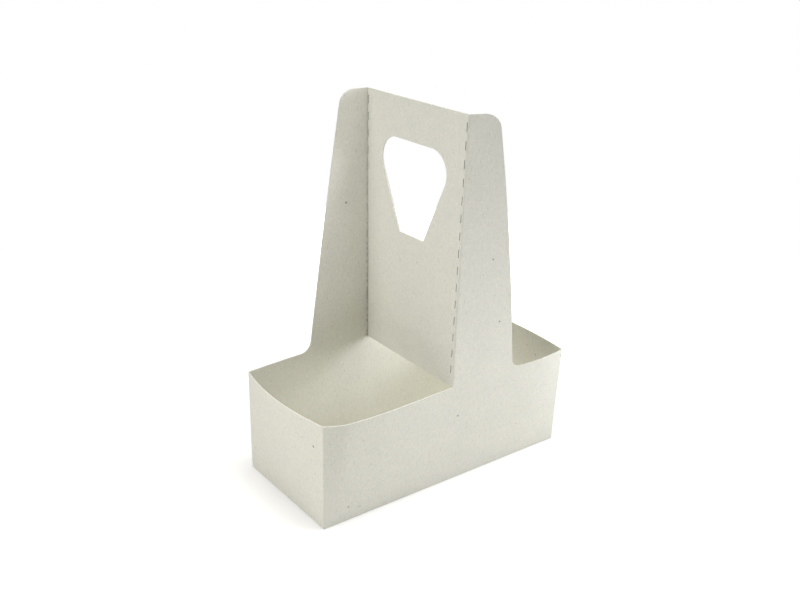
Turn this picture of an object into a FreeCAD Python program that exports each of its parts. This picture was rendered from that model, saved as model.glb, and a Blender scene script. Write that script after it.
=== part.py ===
"""A two-cup carrier, folded and glued from one die-cut sheet of grey recycled board.

A tray of four walls stands on a folded bottom. Half of the front wall and half of the back wall
run on upwards as tapering tabs, and both tabs turn at a perforated fold into the upright card
across the middle of the tray. The card is two plies glued together, with a hand hole near its top.
The walls bow outwards at the rim and the front tab springs open a little, as the real sheet does.

Millimetres. X runs along the tray, Y across it from front to back, Z up. The origin is the middle
of the underside.
"""

import FreeCAD, Part
import math
import os

import Sketcher

NODE = "folded_carrier"

# Each line is a size's name, its number and what it measures.
SIZES = [
    ("board", 0.6, "thickness of the sheet"),
    ("fold_radius", 1.0, "outside radius of a fold"),
    ("bottom_fold_radius", 0.8, "outside radius of the folds round the bottom"),
    ("tray_length", 200.0, "outside length of the tray at its underside"),
    ("tray_width", 92.4, "outside width of the tray at its underside"),
    ("rim_height", 73.8, "height of the tray walls"),
    ("card_height", 252.8, "height of the upright card and its tabs"),
    ("left_end_bow", 5.2, "how far the left end wall bows out at the rim"),
    ("right_end_bow", 3.4, "how far the right end wall bows out at the rim"),
    ("curl_start", 9.5, "from the left end to where the front wall starts to curl"),
    ("curl_start_out", 4.8, "how far the rim stands out there"),
    ("curl_end", 16.5, "from the left end to where the curl ends"),
    ("curl_end_out", 6.65, "how far the rim stands out there"),
    ("curl_bow", 0.45, "bow of the rim between the two"),
    ("swell_end", 62.0, "from the left end to where the front wall's swell ends"),
    ("swell_end_out", 6.8, "how far the rim stands out there"),
    ("swell_bow", 0.85, "bow of the rim along the swell"),
    ("front_fold_out", 5.0, "how far the front fold stands out at the rim"),
    ("front_fold_shift", -2.7, "how far the front fold has shifted at the rim"),
    ("front_foot_out", 5.9, "how far the rim stands out beside the front tab"),
    ("near_right_out", 3.2, "how far the near right corner stands out at the rim"),
    ("front_right_bow", 1.5, "bow of the rim from the front tab to that corner"),
    ("far_right_out", 1.0, "how far the far right corner stands out at the rim"),
    ("back_right_bow", 1.6, "bow of the rim from the back fold to that corner"),
    ("back_fold_out", 3.3, "how far the back fold stands out at the rim"),
    ("back_foot_out", 3.0, "how far the rim stands out beside the back tab"),
    ("far_left_splay", 0.4, "how far the far left corner leans along the tray at the rim"),
    ("far_left_out", -0.7, "how far the far left corner stands out at the rim"),
    ("front_fold_top_shift", 1.0, "how far the front fold has shifted at the top"),
    ("front_fold_top_out", 5.2, "how far the front fold stands out at the top"),
    ("back_fold_top_out", 4.3, "how far the back fold stands out at the top"),
    ("front_spring", 7.0, "how far the front tab's top corner springs outwards"),
    ("back_spring", 2.8, "how far the back tab's top corner springs outwards"),
    ("ply_setback", 1.5, "gap between a tab and the free edge of the other ply"),
    ("tab_top_reach", 19.6, "from the middle to a tab's edge at the top"),
    ("tab_foot_reach", 49.5, "from the middle to a tab's edge at the rim"),
    ("tab_corner_radius", 10.5, "radius of a tab's top corner"),
    ("tab_foot_radius", 9.0, "radius where a tab's edge runs into the rim"),
    ("hole_shift", -0.5, "how far the hand hole lies towards the front"),
    ("hole_below_top", 26.8, "from the card's top down to the hand hole"),
    ("hole_length", 62.6, "length of the hand hole from its upper edge to its lower edge"),
    ("hole_bottom_width", 26.0, "width of the hand hole's lower edge"),
    ("hole_round_radius", 15.0, "radius of the hand hole's upper corners"),
    ("hole_round_spread", 37.0, "distance between those corners' centres"),
    ("slit_count", 15, "number of slits along each fold"),
    ("slit_length", 5.3, "length of a slit"),
    ("slit_width", 0.45, "width of a slit"),
    ("slit_start", 9.75, "from the rim to the lowest slit"),
    ("slit_top_gap", 4.9, "from the highest slit to the card's top"),
    ("slit_low_setback", 3.0, "from the fold to the row of slits at the rim"),
    ("slit_top_setback", 0.7, "from the fold to the row of slits at the top"),
    ("lap_half", 10.0, "from the middle to the free edge of a bottom flap"),
    ("lap_ramp", 5.0, "length over which a bottom flap climbs on to the other"),
    ("lock_reach", 9.0, "reach of the slanting lock in the middle of the bottom"),
    ("end_flap_reach", 30.0, "length of an end flap along the bottom"),
    ("end_flap_gap", 1.5, "gap between an end flap and the long walls"),
    ("crease_width", 0.6, "width of a creased line"),
    ("crease_depth", 0.2, "depth of a creased line"),
    ("trim", 4.0, "waste above the card before its outline is cut"),
]

# Heights and reaches that follow from the sizes.
HALF_LENGTH = "Sizes.tray_length / 2"
HALF_WIDTH = "Sizes.tray_width / 2"
BOARD = "Sizes.board"
RIM = "Sizes.rim_height"
WASTE_TOP = "Sizes.card_height + Sizes.trim"

doc = FreeCAD.newDocument("Carrier")
sheet = doc.addObject("Spreadsheet::Sheet", "Sizes")
for row, (alias, value, words) in enumerate(SIZES, start=1):
    sheet.set(f"A{row}", str(value))
    sheet.setAlias(f"A{row}", alias)
    sheet.set(f"B{row}", words)
doc.recompute()

body = doc.addObject("PartDesign::Body", "FoldedCarrier")
body.Label = NODE


def number(expression):
    """The value of an expression on the sheet."""
    return float(sheet.evalExpression(expression))


def new_sketch(name, role, height=None):
    """A sketch on one of the body's own planes, lifted along the plane's normal if asked."""
    sketch = body.newObject("Sketcher::SketchObject", name)
    plane = [item for item in body.Origin.OriginFeatures if item.Role == role][0]
    sketch.AttachmentSupport = (plane, [""])
    sketch.MapMode = "FlatFace"
    if height is not None:
        sketch.setExpression("AttachmentOffset.Base.z", height)
    return sketch


def bind(sketch, constraint, expression):
    """Add a dimension to a sketch and tie it to an expression."""
    index = sketch.addConstraint(constraint)
    sketch.setExpression(f"Constraints[{index}]", expression)


def arc_between(start, end, radius):
    """The counter-clockwise minor arc of a radius from one point to another."""
    chord = end - start
    middle = (start + end) * 0.5
    normal = FreeCAD.Vector(-chord.y, chord.x, 0).normalize()
    centre = middle + normal * math.sqrt(max(radius**2 - chord.Length**2 / 4, 0.0))
    circle = Part.Circle(centre, FreeCAD.Vector(0, 0, 1), radius)
    first = math.atan2(start.y - centre.y, start.x - centre.x)
    last = math.atan2(end.y - centre.y, end.x - centre.x)
    return Part.ArcOfCircle(circle, first, last)


def outline(sketch, corners):
    """Draw a closed outline through corners whose places are expressions.

    A corner is (x, y) where a straight line leaves it, and (x, y, turn, radius) where an arc
    does, which turns "left" or "right" as the outline is walked.
    """
    places = [FreeCAD.Vector(number(corner[0]), number(corner[1]), 0) for corner in corners]
    ends = []
    for index, corner in enumerate(corners):
        start = places[index]
        end = places[(index + 1) % len(places)]
        turns_right = corner[2:3] == ("right",)
        if len(corner) == 2:
            sketch.addGeometry(Part.LineSegment(start, end))
        elif turns_right:
            sketch.addGeometry(arc_between(end, start, number(corner[3])))
        else:
            sketch.addGeometry(arc_between(start, end, number(corner[3])))
        # An arc's own first end is the one that it runs from counter-clockwise.
        ends.append((2, 1) if turns_right else (1, 2))
    for index, corner in enumerate(corners):
        following = (index + 1) % len(corners)
        near, far = ends[index]
        joint = Sketcher.Constraint("Coincident", index, far, following, ends[following][0])
        sketch.addConstraint(joint)
        start = places[index]
        bind(sketch, Sketcher.Constraint("DistanceX", -1, 1, index, near, start.x), corner[0])
        bind(sketch, Sketcher.Constraint("DistanceY", -1, 1, index, near, start.y), corner[1])
        if len(corner) == 4:
            radius = Sketcher.Constraint("Radius", index, number(corner[3]))
            bind(sketch, radius, corner[3])


def bow_radius(first, second, bow):
    """Radius of the arc over a chord, from how far it bows out: chord squared / 8 bow + bow / 2."""
    chord_squared = f"(({second[0]}) - ({first[0]}))^2 + (({second[1]}) - ({first[1]}))^2"
    return f"({chord_squared}) / (8 * ({bow})) + ({bow}) / 2"


def loft(kind, name, lower, upper):
    """A ruled loft between two sketches, added to the body or cut from it."""
    feature = body.newObject(f"PartDesign::{kind}Loft", name)
    feature.Profile = lower
    feature.Sections = [(upper, [""])]
    feature.Ruled = True
    return feature


def pad(name, sketch, length):
    """Raise a sketch along its normal by an expression's length."""
    feature = body.newObject("PartDesign::Pad", name)
    feature.Profile = sketch
    feature.setExpression("Length", length)
    return feature


def pocket(name, sketch, length, both_ways=False, turned=False):
    """Cut a sketch out of the body by an expression's length."""
    feature = body.newObject("PartDesign::Pocket", name)
    feature.Profile = sketch
    feature.setExpression("Length", length)
    feature.Midplane = both_ways
    feature.Reversed = turned
    return feature


def half_turn(name, features):
    """Repeat features on the other half of the tray, turned half way round the upright axis."""
    pattern = body.newObject("PartDesign::PolarPattern", name)
    axis = [item for item in body.Origin.OriginFeatures if item.Role == "Z_Axis"][0]
    pattern.Originals = features
    pattern.Axis = (axis, [""])
    pattern.Angle = 360.0
    pattern.Occurrences = 2
    body.Tip = pattern
    return pattern


# Tray walls
#
# Eleven points run counter-clockwise round the tray from its near left corner. On the underside
# they lie on a plain rectangle, and at the rim they stand out as the bowed walls do.
def wall_points(inset, standing_out):
    """The points of the tray's outline, moved inwards by an inset, with or without the bowing."""

    def out(name):
        return f"Sizes.{name}" if standing_out else "0"

    left = f"-({HALF_LENGTH}) + {inset}"
    right = f"{HALF_LENGTH} - {inset}"
    front = f"-({HALF_WIDTH}) + {inset}"
    back = f"{HALF_WIDTH} - {inset}"
    foot = "Sizes.tab_foot_reach + Sizes.tab_foot_radius"
    return {
        "near_left": (left, front),
        "curl_start": (f"-({HALF_LENGTH}) + Sizes.curl_start", f"{front} - {out('curl_start_out')}"),
        "curl_end": (f"-({HALF_LENGTH}) + Sizes.curl_end", f"{front} - {out('curl_end_out')}"),
        "swell_end": (f"-({HALF_LENGTH}) + Sizes.swell_end", f"{front} - {out('swell_end_out')}"),
        "front_fold": (out("front_fold_shift"), f"{front} - {out('front_fold_out')}"),
        "front_foot": (foot, f"{front} - {out('front_foot_out')}"),
        "near_right": (right, f"{front} - {out('near_right_out')}"),
        "far_right": (right, f"{back} + {out('far_right_out')}"),
        "back_fold": (BOARD, f"{back} + {out('back_fold_out')}"),
        "back_foot": (f"-({foot})", f"{back} + {out('back_foot_out')}"),
        "far_left": (f"{left} - {out('far_left_splay')}", f"{back} + {out('far_left_out')}"),
    }


# Each bowed stretch of the rim: the point it starts at, the next point, and its bow.
BOWS = [
    ("curl_start", "curl_end", "curl_bow"),
    ("curl_end", "swell_end", "swell_bow"),
    ("front_foot", "near_right", "front_right_bow"),
    ("near_right", "far_right", "right_end_bow"),
    ("far_right", "back_fold", "back_right_bow"),
    ("far_left", "near_left", "left_end_bow"),
]

# The way from each tray corner along the wall that comes before it and the wall that follows.
CORNER_WAYS = {
    "near_left": ((0, 1), (1, 0)),
    "near_right": ((-1, 0), (0, 1)),
    "far_right": ((0, -1), (-1, 0)),
    "far_left": ((1, 0), (0, -1)),
}


def moved(point, way):
    """A point moved by the fold radius along one axis."""
    return tuple(
        f"{place} + ({step}) * Sizes.fold_radius" for place, step in zip(point, way)
    )


def tray_sketch(name, height, inset, standing_out, rounded):
    """The tray's outline at one height, with its corner folds rounded or sharp."""
    points = wall_points(inset, standing_out)
    leaving = dict(points)
    arriving = dict(points)
    if rounded:
        for corner, (before, after) in CORNER_WAYS.items():
            arriving[corner] = moved(points[corner], before)
            leaving[corner] = moved(points[corner], after)
    radii = {}
    if standing_out:
        for first, second, bow in BOWS:
            radius = bow_radius(leaving[first], arriving[second], f"Sizes.{bow}")
            radii[first] = ("left", radius)
    corners = []
    for point in points:
        if rounded and point in CORNER_WAYS:
            corners.append((*arriving[point], "left", "Sizes.fold_radius"))
        corners.append((*leaving[point], *radii.get(point, ())))
    sketch = new_sketch(name, "XY_Plane", height)
    outline(sketch, corners)
    return sketch


# The lowest stretch of the walls stands straight, so that its folds to the bottom are even.
BASE_HEIGHT = "Sizes.fold_radius + Sizes.board"

underside = tray_sketch("UndersideOutline", "0", "0", False, True)
base = pad("TrayBase", underside, BASE_HEIGHT)
doc.recompute()
low_edges = [
    f"Edge{index}"
    for index, edge in enumerate(base.Shape.Edges, start=1)
    if edge.BoundBox.ZMax < number(BOARD) / 2
]
bottom_folds = body.newObject("PartDesign::Fillet", "BottomFolds")
bottom_folds.Base = (base, low_edges)
bottom_folds.setExpression("Radius", "Sizes.bottom_fold_radius")

wall_start = tray_sketch("WallStartOutline", BASE_HEIGHT, "0", False, True)
rim = tray_sketch("RimOutline", RIM, "0", True, True)
loft("Additive", "TrayWalls", wall_start, rim)

# The hollow leaves the walls one board thick. Its lowest stretch is straight as well.
hollow_start = tray_sketch("HollowStartOutline", BASE_HEIGHT, BOARD, False, False)
hollow_rim = tray_sketch("HollowRimOutline", RIM, BOARD, True, False)
loft("Subtractive", "TrayHollow", hollow_start, hollow_rim)
floor_outline = tray_sketch("FloorOutline", BASE_HEIGHT, BOARD, False, False)
pocket("TrayFloor", floor_outline, f"{BASE_HEIGHT} - {BOARD}")


# Upright card and tabs
#
# The card and both tabs stand on the rim as one Z-shaped section, which is drawn at the rim and
# again above the top, where the folds have moved a little and the tabs spring open.
def z_section(name, height, front_shift, front_out, back_shift, back_out, springs):
    """The Z-shaped section of card and tabs at one height, one board thick in each ply."""
    radius = "Sizes.fold_radius"
    reach = "(Sizes.tab_foot_reach + Sizes.tab_foot_radius)"
    front_x = f"({front_shift})"
    front_y = f"(-({HALF_WIDTH}) - {front_out})"
    back_x = f"({BOARD} + {back_shift})"
    back_y = f"({HALF_WIDTH} + {back_out})"
    front_spring, back_spring = springs
    front_slope = f"(({front_spring}) / ({reach} - {front_x}))"
    back_slope = f"(({back_spring}) / ({reach} + {back_x}))"
    setback = f"({BOARD} + Sizes.ply_setback)"
    corners = [
        (f"{front_x} + {radius}", f"{front_y} - {front_slope} * {radius}"),
        (reach, f"{front_y} - ({front_spring})"),
        (reach, f"{front_y} - ({front_spring}) + {BOARD}"),
        (f"{front_x} + {BOARD}", f"{front_y} - {front_slope} * {BOARD} + {BOARD}"),
        (f"{front_x} + {BOARD}", f"{front_y} + {setback}"),
        (f"{front_x} + 2 * {BOARD}", f"{front_y} + {setback}"),
        (back_x, f"{back_y} - {radius}", "left", radius),
        (f"{back_x} - {radius}", f"{back_y} + {back_slope} * {radius}"),
        (f"-{reach}", f"{back_y} + ({back_spring})"),
        (f"-{reach}", f"{back_y} + ({back_spring}) - {BOARD}"),
        (f"{back_x} - {BOARD}", f"{back_y} + {back_slope} * {BOARD} - {BOARD}"),
        (f"{back_x} - {BOARD}", f"{back_y} - {setback}"),
        (f"{back_x} - 2 * {BOARD}", f"{back_y} - {setback}"),
        (front_x, f"{front_y} + {radius}", "left", radius),
    ]
    sketch = new_sketch(name, "XY_Plane", height)
    outline(sketch, corners)
    return sketch


def spring_at_foot(tip_spring, shift):
    """A tab's spring where the section ends, from its spring at the tab's top corner."""
    reach = "(Sizes.tab_foot_reach + Sizes.tab_foot_radius)"
    return f"{tip_spring} * ({reach} {shift}) / (Sizes.tab_top_reach {shift})"


card_foot = z_section(
    "CardFoot",
    RIM,
    "Sizes.front_fold_shift",
    "Sizes.front_fold_out",
    "0",
    "Sizes.back_fold_out",
    (
        "(Sizes.front_foot_out - Sizes.front_fold_out)",
        "(Sizes.back_foot_out - Sizes.back_fold_out)",
    ),
)
card_top = z_section(
    "CardTop",
    WASTE_TOP,
    "Sizes.front_fold_top_shift",
    "Sizes.front_fold_top_out",
    "0",
    "Sizes.back_fold_top_out",
    (
        spring_at_foot("Sizes.front_spring", "- Sizes.front_fold_top_shift"),
        spring_at_foot("Sizes.back_spring", "+ Sizes.board"),
    ),
)
loft("Additive", "CardAndTabs", card_foot, card_top)


# Outline of the tabs
#
# One cut through both tabs gives them their tapering edges, the round corners at the top, the
# hollow curves into the rim and the straight top, which the card shares.
LEAN = (
    "atan((Sizes.tab_foot_reach - Sizes.tab_top_reach)"
    " / (Sizes.card_height - Sizes.rim_height))"
)
TOP = "Sizes.card_height"
OUTSIDE = "(Sizes.tray_length / 2 + Sizes.trim)"


def tangent_length(radius):
    """From a corner of a tab's outline to where its rounding starts."""
    return f"{radius} * tan((90 deg - {LEAN}) / 2)"


def tab_edge(side):
    """One tab's edge as a list of corners from the rim to the top, on side -1 or 1."""
    foot = tangent_length("Sizes.tab_foot_radius")
    corner = tangent_length("Sizes.tab_corner_radius")
    places = [
        (f"(Sizes.tab_foot_reach + {foot})", RIM),
        (f"(Sizes.tab_foot_reach - {foot} * sin({LEAN}))", f"{RIM} + {foot} * cos({LEAN})"),
        (f"(Sizes.tab_top_reach + {corner} * sin({LEAN}))", f"{TOP} - {corner} * cos({LEAN})"),
        (f"(Sizes.tab_top_reach - {corner})", TOP),
    ]
    return [(f"{side} * {x}", z) for x, z in places]


left_edge = tab_edge(-1)
right_edge = tab_edge(1)
waste = new_sketch("TabWaste", "XZ_Plane")
outline(
    waste,
    [
        (OUTSIDE, RIM),
        (OUTSIDE, f"{WASTE_TOP} + {BOARD}"),
        (f"-{OUTSIDE}", f"{WASTE_TOP} + {BOARD}"),
        (f"-{OUTSIDE}", RIM),
        (*left_edge[0], "left", "Sizes.tab_foot_radius"),
        left_edge[1],
        (*left_edge[2], "right", "Sizes.tab_corner_radius"),
        left_edge[3],
        (*right_edge[3], "right", "Sizes.tab_corner_radius"),
        right_edge[2],
        (*right_edge[1], "left", "Sizes.tab_foot_radius"),
        right_edge[0],
    ],
)
pocket("TabOutline", waste, "2 * Sizes.tray_width", both_ways=True)


# Hand hole
#
# Straight below, wide and round above, so that a hand closes round the top of the card.
hand_hole = new_sketch("HandHoleOutline", "YZ_Plane")
half_bottom = number("Sizes.hole_bottom_width") / 2
half_spread = number("Sizes.hole_round_spread") / 2
round_radius = number("Sizes.hole_round_radius")
HOLE_TOP = f"({TOP} - Sizes.hole_below_top)"
HOLE_BOTTOM = f"({HOLE_TOP} - Sizes.hole_length)"
bottom = number(HOLE_BOTTOM)
top = number(HOLE_TOP)
wide = half_spread + round_radius
round_height = top - round_radius
normal = FreeCAD.Vector(0, 0, 1)


def round_corner(side, first, last):
    """The rough arc of one upper corner, which the constraints then make exact."""
    centre = FreeCAD.Vector(side * half_spread, round_height, 0)
    return Part.ArcOfCircle(Part.Circle(centre, normal, round_radius), first, last)


def line(x0, y0, x1, y1):
    """A straight line of a sketch."""
    return Part.LineSegment(FreeCAD.Vector(x0, y0, 0), FreeCAD.Vector(x1, y1, 0))


BOTTOM, RIGHT, RIGHT_ROUND, TOP_LINE, LEFT_ROUND, LEFT, MIDDLE = range(7)
hand_hole.addGeometry(
    [
        line(-half_bottom, bottom, half_bottom, bottom),
        line(half_bottom, bottom, wide, round_height),
        round_corner(1, 0, math.pi / 2),
        line(half_spread, top, -half_spread, top),
        round_corner(-1, math.pi / 2, math.pi),
        line(-wide, round_height, -half_bottom, bottom),
    ]
)
hand_hole.addGeometry(line(0, bottom, 0, top), True)
hand_hole.addConstraint(
    [
        Sketcher.Constraint("Coincident", BOTTOM, 2, RIGHT, 1),
        Sketcher.Constraint("Tangent", RIGHT, 2, RIGHT_ROUND, 1),
        Sketcher.Constraint("Tangent", RIGHT_ROUND, 2, TOP_LINE, 1),
        Sketcher.Constraint("Tangent", TOP_LINE, 2, LEFT_ROUND, 1),
        Sketcher.Constraint("Tangent", LEFT_ROUND, 2, LEFT, 1),
        Sketcher.Constraint("Coincident", LEFT, 2, BOTTOM, 1),
        Sketcher.Constraint("Symmetric", BOTTOM, 1, BOTTOM, 2, MIDDLE, 1),
        Sketcher.Constraint("Symmetric", TOP_LINE, 1, TOP_LINE, 2, MIDDLE, 2),
        Sketcher.Constraint("Vertical", MIDDLE),
        Sketcher.Constraint("Horizontal", BOTTOM),
        Sketcher.Constraint("Horizontal", TOP_LINE),
        Sketcher.Constraint("Equal", LEFT_ROUND, RIGHT_ROUND),
    ]
)
bind(
    hand_hole,
    Sketcher.Constraint("DistanceX", BOTTOM, 1, BOTTOM, 2, 2 * half_bottom),
    "Sizes.hole_bottom_width",
)
bind(
    hand_hole,
    Sketcher.Constraint("DistanceX", LEFT_ROUND, 3, RIGHT_ROUND, 3, 2 * half_spread),
    "Sizes.hole_round_spread",
)
bind(
    hand_hole,
    Sketcher.Constraint("Radius", RIGHT_ROUND, round_radius),
    "Sizes.hole_round_radius",
)
bind(
    hand_hole,
    Sketcher.Constraint("DistanceX", -1, 1, MIDDLE, 1, 0),
    "Sizes.hole_shift",
)
bind(
    hand_hole,
    Sketcher.Constraint("DistanceY", -1, 1, MIDDLE, 1, bottom),
    HOLE_BOTTOM,
)
bind(
    hand_hole,
    Sketcher.Constraint("DistanceY", -1, 1, MIDDLE, 2, top),
    HOLE_TOP,
)
pocket("HandHole", hand_hole, "Sizes.tab_foot_reach", both_ways=True)


# Perforated folds
#
# Both folds were weakened with a row of short slits, cut through the outer ply of the card just
# beside the fold. The row leans a little to the fold, and the card leans with it. The slits share
# out the length between the lowest and the highest.
SLIT_ROW = (
    f"({TOP} - Sizes.slit_top_gap - Sizes.slit_length - {RIM} - Sizes.slit_start)"
)


def fold_slits(name, side, rim_place, top_place):
    """The row of slits along one fold, on side -1 for the front or 1 for the back.

    The fold's places at the rim and at the top are (x, y). The sketch lies just off the card's
    face beside the fold, tilted as the face is.
    """
    height = f"({WASTE_TOP} - {RIM})"
    lean = f"(({top_place[0]}) - ({rim_place[0]})) / {height}"
    clearance = "Sizes.fold_radius"
    sketch = new_sketch(
        f"{name}Slit",
        "YZ_Plane",
        f"{rim_place[0]} - {lean} * {RIM} + {side} * {clearance}",
    )
    sketch.AttachmentOffset = FreeCAD.Placement(
        sketch.AttachmentOffset.Base,
        FreeCAD.Rotation(FreeCAD.Vector(1, 0, 0), 1),
    )
    sketch.setExpression("AttachmentOffset.Rotation.Angle", f"atan({lean})")

    def row_y(setback, place):
        return f"({place[1]} - {side} * {setback})"

    start_y = row_y("Sizes.slit_low_setback", rim_place)
    end_y = row_y("Sizes.slit_top_setback", top_place)
    low = f"({RIM} + Sizes.slit_start)"
    high = f"({RIM} + Sizes.slit_start + Sizes.slit_length)"
    drift = f"({end_y} - {start_y}) / {height}"
    low_y = f"{start_y} + {drift} * Sizes.slit_start"
    high_y = f"{start_y} + {drift} * (Sizes.slit_start + Sizes.slit_length)"
    outline(
        sketch,
        [
            (f"{low_y} - Sizes.slit_width / 2", low),
            (f"{low_y} + Sizes.slit_width / 2", low),
            (f"{high_y} + Sizes.slit_width / 2", high),
            (f"{high_y} - Sizes.slit_width / 2", high),
        ],
    )
    # The row climbs along a construction line from the rim to the top.
    guide = 4
    ends = [(start_y, RIM), (end_y, WASTE_TOP)]
    sketch.addGeometry(line(*(number(place) for end in ends for place in end)), True)
    for position, (across, upwards) in enumerate(ends, start=1):
        sideways = Sketcher.Constraint("DistanceX", -1, 1, guide, position, number(across))
        rise = Sketcher.Constraint("DistanceY", -1, 1, guide, position, number(upwards))
        bind(sketch, sideways, across)
        bind(sketch, rise, upwards)
    slit = pocket(f"{name}Cut", sketch, f"{clearance} + {BOARD}", turned=side < 0)
    row = body.newObject("PartDesign::LinearPattern", f"{name}Row")
    row.Originals = [slit]
    row.Direction = (sketch, ["Axis0"])
    row.setExpression("Length", SLIT_ROW)
    row.setExpression("Occurrences", "Sizes.slit_count")
    row.Refine = False
    body.Tip = row


fold_slits(
    "FrontFold",
    -1,
    ("Sizes.front_fold_shift", f"(-({HALF_WIDTH}) - Sizes.front_fold_out)"),
    ("Sizes.front_fold_top_shift", f"(-({HALF_WIDTH}) - Sizes.front_fold_top_out)"),
)
fold_slits(
    "BackFold",
    1,
    (BOARD, f"({HALF_WIDTH} + Sizes.back_fold_out)"),
    (BOARD, f"({HALF_WIDTH} + Sizes.back_fold_top_out)"),
)


# Folded bottom
#
# The long flaps of front and back wall lap along the middle. In the left half the front flap
# climbs on to the back flap, in the right half it is the other way round, and a slanting lock
# joins the halves. The end flaps lie on top.
FLAP_END = f"({HALF_LENGTH} - {BOARD} / 2)"
LAP = "Sizes.lap_half"
RAMP_START = "(Sizes.lap_half + Sizes.lap_ramp)"
GROOVE_LENGTH = f"{HALF_LENGTH} - 2 * Sizes.fold_radius - Sizes.lock_reach"

lap = new_sketch("LapOutline", "XY_Plane", BOARD)
outline(
    lap,
    [
        (f"-{FLAP_END}", f"-{LAP}"),
        (FLAP_END, f"-{LAP}"),
        (FLAP_END, LAP),
        (f"-{FLAP_END}", LAP),
    ],
)
pad("Lap", lap, BOARD)

ramp = new_sketch("RampSection", "YZ_Plane", "-Sizes.lock_reach")
outline(ramp, [(f"-{RAMP_START}", BOARD), (f"-{LAP}", BOARD), (f"-{LAP}", f"2 * {BOARD}")])
ramp_pad = pad("Ramp", ramp, GROOVE_LENGTH)
ramp_pad.Reversed = True
under_ramp = new_sketch("UnderRampSection", "YZ_Plane", "-Sizes.lock_reach")
outline(under_ramp, [(f"-{RAMP_START}", "0"), (f"-{LAP}", "0"), (f"-{LAP}", BOARD)])
seam = pocket("UndersideSeam", under_ramp, GROOVE_LENGTH)

end_flap = new_sketch("EndFlapOutline", "XY_Plane", BOARD)
wall_half = f"({HALF_WIDTH} - Sizes.end_flap_gap)"
free_half = f"({HALF_WIDTH} - Sizes.end_flap_gap - Sizes.end_flap_reach)"
free_edge = f"-({HALF_LENGTH} - Sizes.end_flap_reach)"
outline(
    end_flap,
    [
        (f"-{FLAP_END}", f"-{wall_half}"),
        (free_edge, f"-{free_half}"),
        (free_edge, free_half),
        (f"-{FLAP_END}", wall_half),
    ],
)
end_flap_pad = pad("EndFlap", end_flap, BOARD)
raised = new_sketch("RaisedEndFlapOutline", "XY_Plane", f"2 * {BOARD}")
outline(
    raised,
    [
        (f"-{FLAP_END}", f"-{LAP}"),
        (free_edge, f"-{LAP}"),
        (free_edge, LAP),
        (f"-{FLAP_END}", LAP),
    ],
)
raised_pad = pad("RaisedEndFlap", raised, BOARD)

crease = new_sketch("CornerCreaseOutline", "XY_Plane")
crease_run = f"({HALF_WIDTH} - {RAMP_START})"
corner_x = f"-({HALF_LENGTH} - 2 * Sizes.fold_radius)"
corner_y = f"-({HALF_WIDTH} - 2 * Sizes.fold_radius)"
outline(
    crease,
    [
        (corner_x, corner_y),
        (f"{corner_x} + Sizes.crease_width", corner_y),
        (f"-({HALF_LENGTH}) + {crease_run} + Sizes.crease_width", f"-{RAMP_START}"),
        (f"-({HALF_LENGTH}) + {crease_run}", f"-{RAMP_START}"),
    ],
)
corner_crease = pocket("CornerCrease", crease, "Sizes.crease_depth", turned=True)
half_turn("OtherHalf", [ramp_pad, seam, end_flap_pad, raised_pad, corner_crease])


def lock_cut(name, height, slant, turned):
    """The slanting edge where the two long flaps lock, scored into one side of the bottom."""
    sketch = new_sketch(f"{name}Outline", "XY_Plane", height)
    low_x = f"{-slant} * Sizes.lock_reach"
    high_x = f"{slant} * Sizes.lock_reach"
    half_width = "Sizes.crease_width / 2"
    outline(
        sketch,
        [
            (f"{low_x} - {half_width}", f"-{LAP}"),
            (f"{low_x} + {half_width}", f"-{LAP}"),
            (f"{high_x} + {half_width}", LAP),
            (f"{high_x} - {half_width}", LAP),
        ],
    )
    pocket(name, sketch, "Sizes.crease_depth", turned=turned)


lock_cut("LockUnderneath", "0", 1, True)
lock_cut("LockInside", f"2 * {BOARD}", -1, False)


# Checks and hand-over
doc.recompute()
for item in doc.Objects:
    if "Invalid" in item.State or "Error" in item.State:
        raise RuntimeError(f"{item.Name} failed: {item.State}")
solid = body.Shape
if solid.isNull() or not solid.isValid() or len(solid.Solids) != 1:
    raise RuntimeError(f"{NODE} is not one valid solid")
print(f"{NODE}: {solid.Volume / 1000:.2f} cubic centimetres, {len(solid.Faces)} faces")
os.makedirs("parts", exist_ok=True)
solid.exportStep(f"parts/{body.Label}.step")
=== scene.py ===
"""The look of a two-cup carrier folded from one sheet of grey recycled board.

The carrier's sizes are in millimetres. The scene, its studio and its camera are in metres."""

import math

import bmesh
import bpy
import numpy as np
from mathutils import Matrix, Vector


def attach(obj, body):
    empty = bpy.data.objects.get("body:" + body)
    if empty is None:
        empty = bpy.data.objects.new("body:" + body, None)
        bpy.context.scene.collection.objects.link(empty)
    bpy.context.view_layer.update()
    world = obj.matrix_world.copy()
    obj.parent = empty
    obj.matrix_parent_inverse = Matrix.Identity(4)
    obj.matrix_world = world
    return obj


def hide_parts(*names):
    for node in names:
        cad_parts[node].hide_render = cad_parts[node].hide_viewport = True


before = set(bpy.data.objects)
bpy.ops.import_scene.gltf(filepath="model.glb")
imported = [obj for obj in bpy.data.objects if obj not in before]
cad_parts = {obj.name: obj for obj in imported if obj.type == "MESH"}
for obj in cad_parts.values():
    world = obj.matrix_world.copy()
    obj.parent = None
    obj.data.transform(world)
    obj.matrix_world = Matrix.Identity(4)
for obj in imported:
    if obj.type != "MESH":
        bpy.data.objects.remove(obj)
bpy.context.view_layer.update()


# Tray walls
#
# Four walls of one band of board, creased at the corners and glued into a sleeve. The rim bows
# outwards, most of all beside the near left corner, where the front wall curls.
MM = 0.001
HALF_LENGTH = 100.0
HALF_WIDTH = 46.2
RIM = 73.8
STRAIGHT_FOOT = 1.6
FOLD_RADIUS = 1.0
FOOT_RADIUS = 0.8

# Where the tab's hollow foot runs out into the rim, along the wall from its middle.
TAB_FOOT = 57.12

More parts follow.
